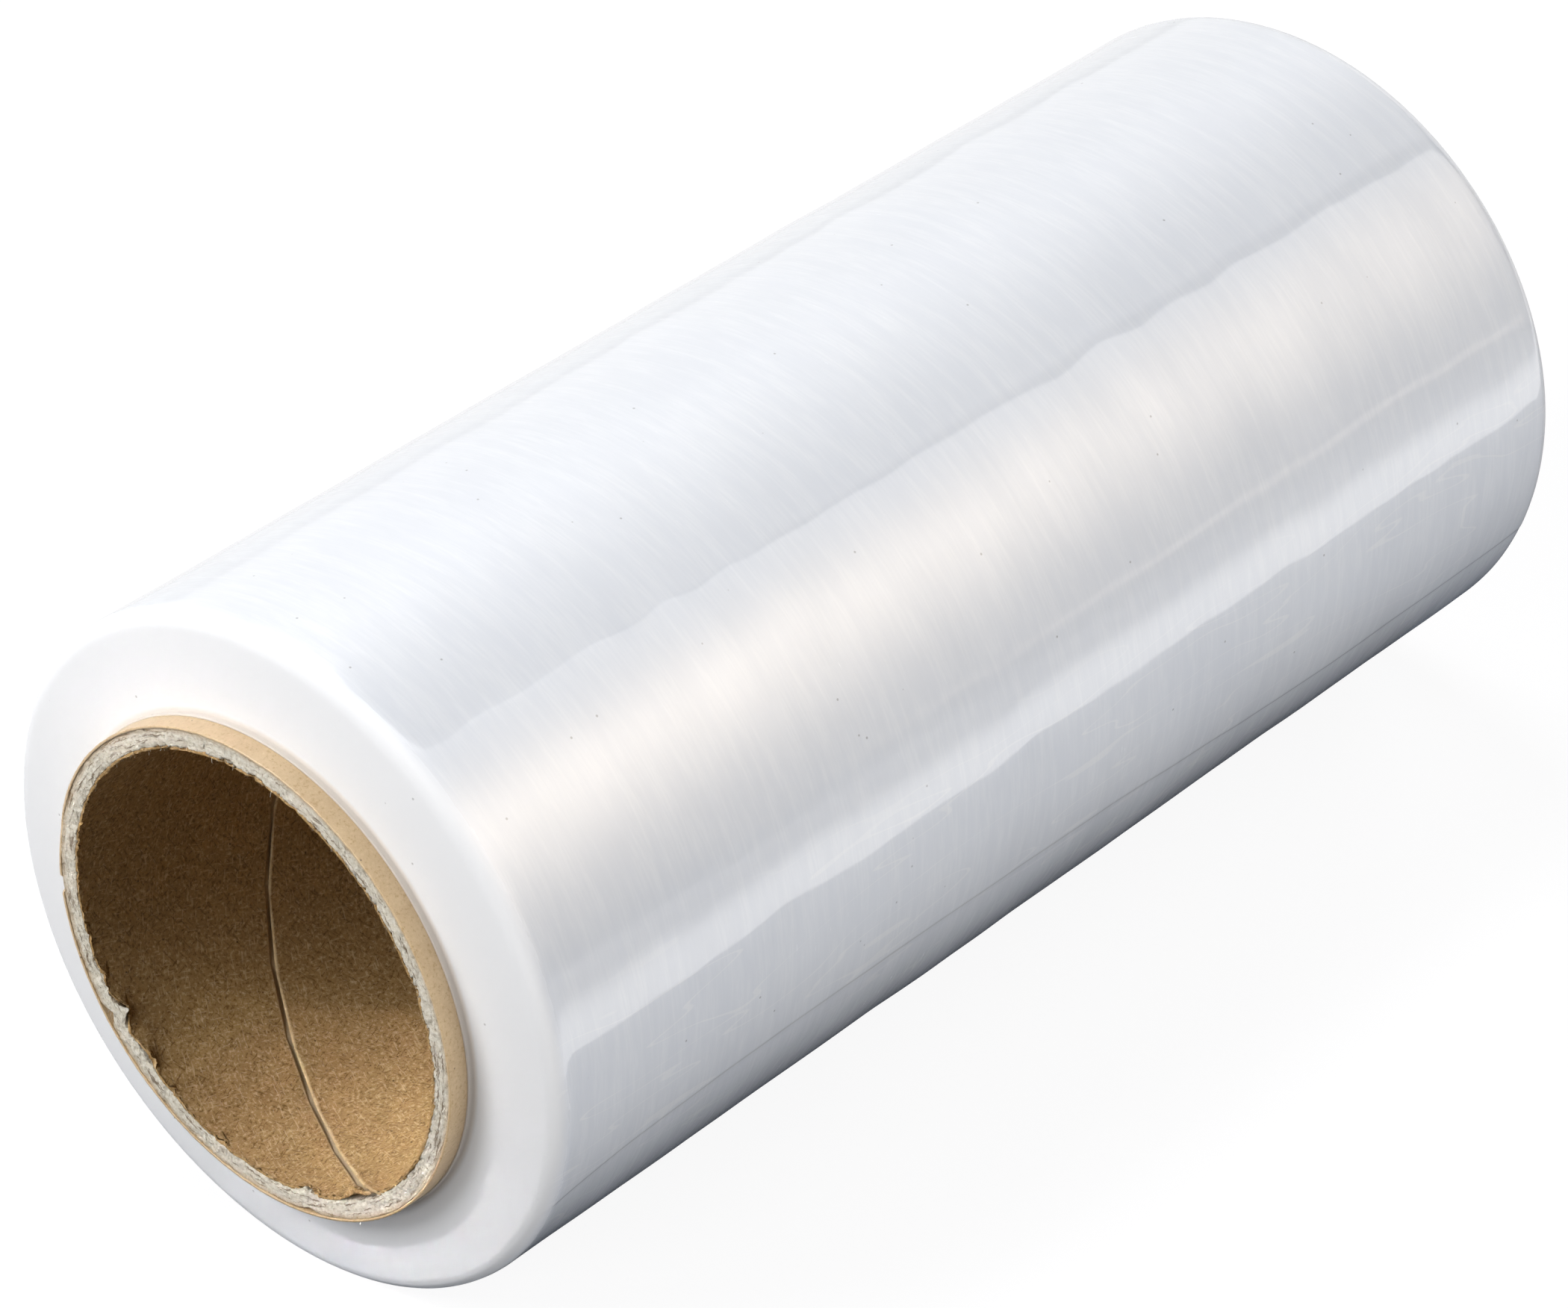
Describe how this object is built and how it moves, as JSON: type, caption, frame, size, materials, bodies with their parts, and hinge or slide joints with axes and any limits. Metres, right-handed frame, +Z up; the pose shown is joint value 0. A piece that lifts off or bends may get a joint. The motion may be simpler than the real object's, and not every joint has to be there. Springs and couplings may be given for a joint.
{
  "type": "roll of cling film",
  "caption": "Thick roll of clear cling film wound on an open paper core that stands a little out of the film at both ends.",
  "frame": {"origin": "on the ground under the middle of the roll, which lies on its side on its flat spot", "axes": "+X along the core's bore, away from the end that faces the picture, +Z up"},
  "size_m": [0.262, 0.1164, 0.1159],
  "materials": {
    "clear_film": "clear film over many turns: glossy and streaky on the side, frosted white on the ends",
    "tan_kraft": "smooth matt tan paper",
    "grey_board": "rough saw-cut grey board",
    "brown_kraft": "matt brown paper with short fibres and dark specks"
  },
  "bodies": {
    "root": {"film_wind": "clear_film", "core_outer_ply": "tan_kraft", "core_board": "grey_board", "core_inner_ply": "brown_kraft"}
  },
  "joints": []
}
